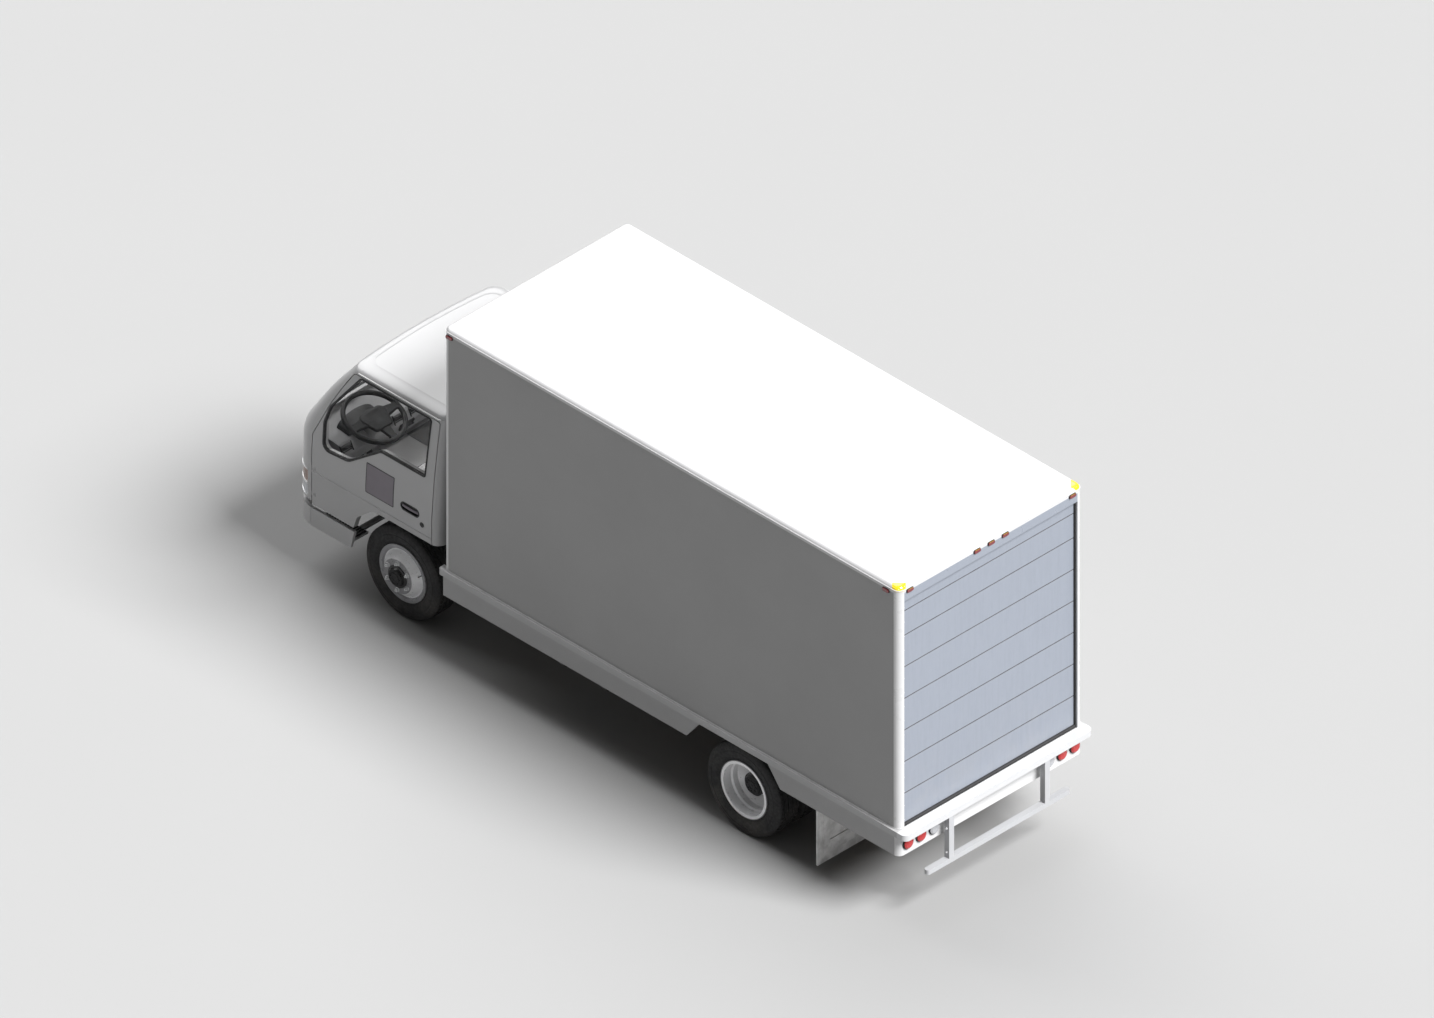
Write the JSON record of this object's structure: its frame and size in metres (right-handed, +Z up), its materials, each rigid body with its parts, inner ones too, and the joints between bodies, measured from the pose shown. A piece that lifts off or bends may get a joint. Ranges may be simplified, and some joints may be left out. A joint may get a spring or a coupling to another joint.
{
  "type": "box truck",
  "caption": "Cab-over light truck with a tall rectangular van body, roll-up rear door, side skirts, rear step guard, twin rear wheels, hinged doors and a tilting cab.",
  "frame": {"origin": "on the floor at the middle of the truck's footprint box", "axes": "+X forward along the truck, +Y to its left, +Z up"},
  "size_m": [6.7242, 2.006, 3.1079],
  "materials": {
    "frame_black": "satin black chassis paint",
    "cast_metal": "raw cast metal",
    "tank_black": "semi-gloss black paint",
    "exhaust_steel": "dull aluminised steel",
    "cab_paint": "gloss white paint",
    "body_paint": "gloss white panel paint",
    "door_paint": "pale blue-grey slat paint",
    "rail_paint": "white painted steel",
    "guard_steel": "pale grey painted steel",
    "rim_paint": "silver-grey wheel paint",
    "tyre_rubber": "matt black rubber",
    "flap_rubber": "pale grey moulded rubber",
    "window_glass": "clear, slightly grey",
    "lamp_lens": "clear moulded lens",
    "lamp_red": "red moulded lens",
    "cabin_plastic": "grained grey plastic",
    "black_plastic": "grained black plastic",
    "seat_fabric": "woven grey cloth",
    "deck_wood": "oiled hardwood boards"
  },
  "bodies": {
    "chassis": {"frame_rails": "frame_black", "engine_block": "cast_metal", "drive_line": "cast_metal", "front_axle": "frame_black", "rear_axle": "frame_black", "leaf_springs": "frame_black", "fuel_tank": "tank_black", "battery_box": "tank_black", "exhaust": "exhaust_steel", "front_bumper": "cab_paint", "side_steps": "cab_paint", "body_floor": "deck_wood", "body_side_walls": "body_paint", "body_front_wall": "body_paint", "body_roof": "body_paint", "body_rear_frame": "body_paint", "rollup_door": "door_paint", "rub_rails": "rail_paint", "skirts": "body_paint", "tail_lamps": "lamp_red", "marker_lamps": "lamp_red", "underride_guard": "guard_steel", "mud_flaps": "flap_rubber"},
    "cab": {"cab_shell": "cab_paint", "cab_floor": "cabin_plastic", "front_panel": "cab_paint", "front_lamps": "lamp_lens", "cab_glass": "window_glass", "dashboard": "cabin_plastic", "seats": "seat_fabric"},
    "left_door": {"door_left": "cab_paint", "door_glass_left": "window_glass"},
    "right_door": {"door_right": "cab_paint", "door_glass_right": "window_glass"},
    "steering_wheel": {"steering_wheel": "black_plastic"},
    "left_knuckle": {"knuckle_left": "cast_metal"},
    "right_knuckle": {"knuckle_right": "cast_metal"},
    "front_left_wheel": {"wheel_front_left": "rim_paint", "tyre_front_left": "tyre_rubber"},
    "front_right_wheel": {"wheel_front_right": "rim_paint", "tyre_front_right": "tyre_rubber"},
    "rear_left_wheels": {"wheel_rear_left": "rim_paint", "tyre_rear_left": "tyre_rubber"},
    "rear_right_wheels": {"wheel_rear_right": "rim_paint", "tyre_rear_right": "tyre_rubber"}
  },
  "joints": [
    {"name": "cab_tilt", "type": "hinge", "parent": "chassis", "child": "cab", "pos_m": [3.247, 0, 0.692], "axis": [0, 1, 0], "range_deg": [0, 45]},
    {"name": "left_door_hinge", "type": "hinge", "parent": "cab", "child": "left_door", "pos_m": [3.079, 0.84, 1.2], "axis": [0, 0, -1], "range_deg": [0, 70]},
    {"name": "right_door_hinge", "type": "hinge", "parent": "cab", "child": "right_door", "pos_m": [3.079, -0.84, 1.2], "axis": [0, 0, 1], "range_deg": [0, 70]},
    {"name": "steer_left", "type": "hinge", "parent": "chassis", "child": "left_knuckle", "pos_m": [2.227, 0.618, 0.398], "axis": [0, 0, 1], "range_deg": [-32, 32]},
    {"name": "steer_right", "type": "hinge", "parent": "chassis", "child": "right_knuckle", "pos_m": [2.227, -0.618, 0.398], "axis": [0, 0, 1], "range_deg": [-32, 32]},
    {"name": "steering_wheel_turn", "type": "hinge", "parent": "cab", "child": "steering_wheel", "pos_m": [2.899, 0.4, 1.302], "axis": [-0.3338, 0, 0.9426], "range_deg": [-480, 480]},
    {"name": "front_left_spin", "type": "hinge", "parent": "left_knuckle", "child": "front_left_wheel", "pos_m": [2.227, 0.6595, 0.398], "axis": [0, 1, 0], "continuous": true},
    {"name": "rear_left_spin", "type": "hinge", "parent": "chassis", "child": "rear_left_wheels", "pos_m": [-1.583, 0.7085, 0.398], "axis": [0, 1, 0], "continuous": true},
    {"name": "front_right_spin", "type": "hinge", "parent": "right_knuckle", "child": "front_right_wheel", "pos_m": [2.227, -0.6595, 0.398], "axis": [0, 1, 0], "continuous": true},
    {"name": "rear_right_spin", "type": "hinge", "parent": "chassis", "child": "rear_right_wheels", "pos_m": [-1.583, -0.7085, 0.398], "axis": [0, 1, 0], "continuous": true}
  ],
  "couplings": [
    {"joint": "steer_right", "follows": "steer_left", "ratio": 1},
    {"joint": "steering_wheel_turn", "follows": "steer_left", "ratio": 15}
  ]
}
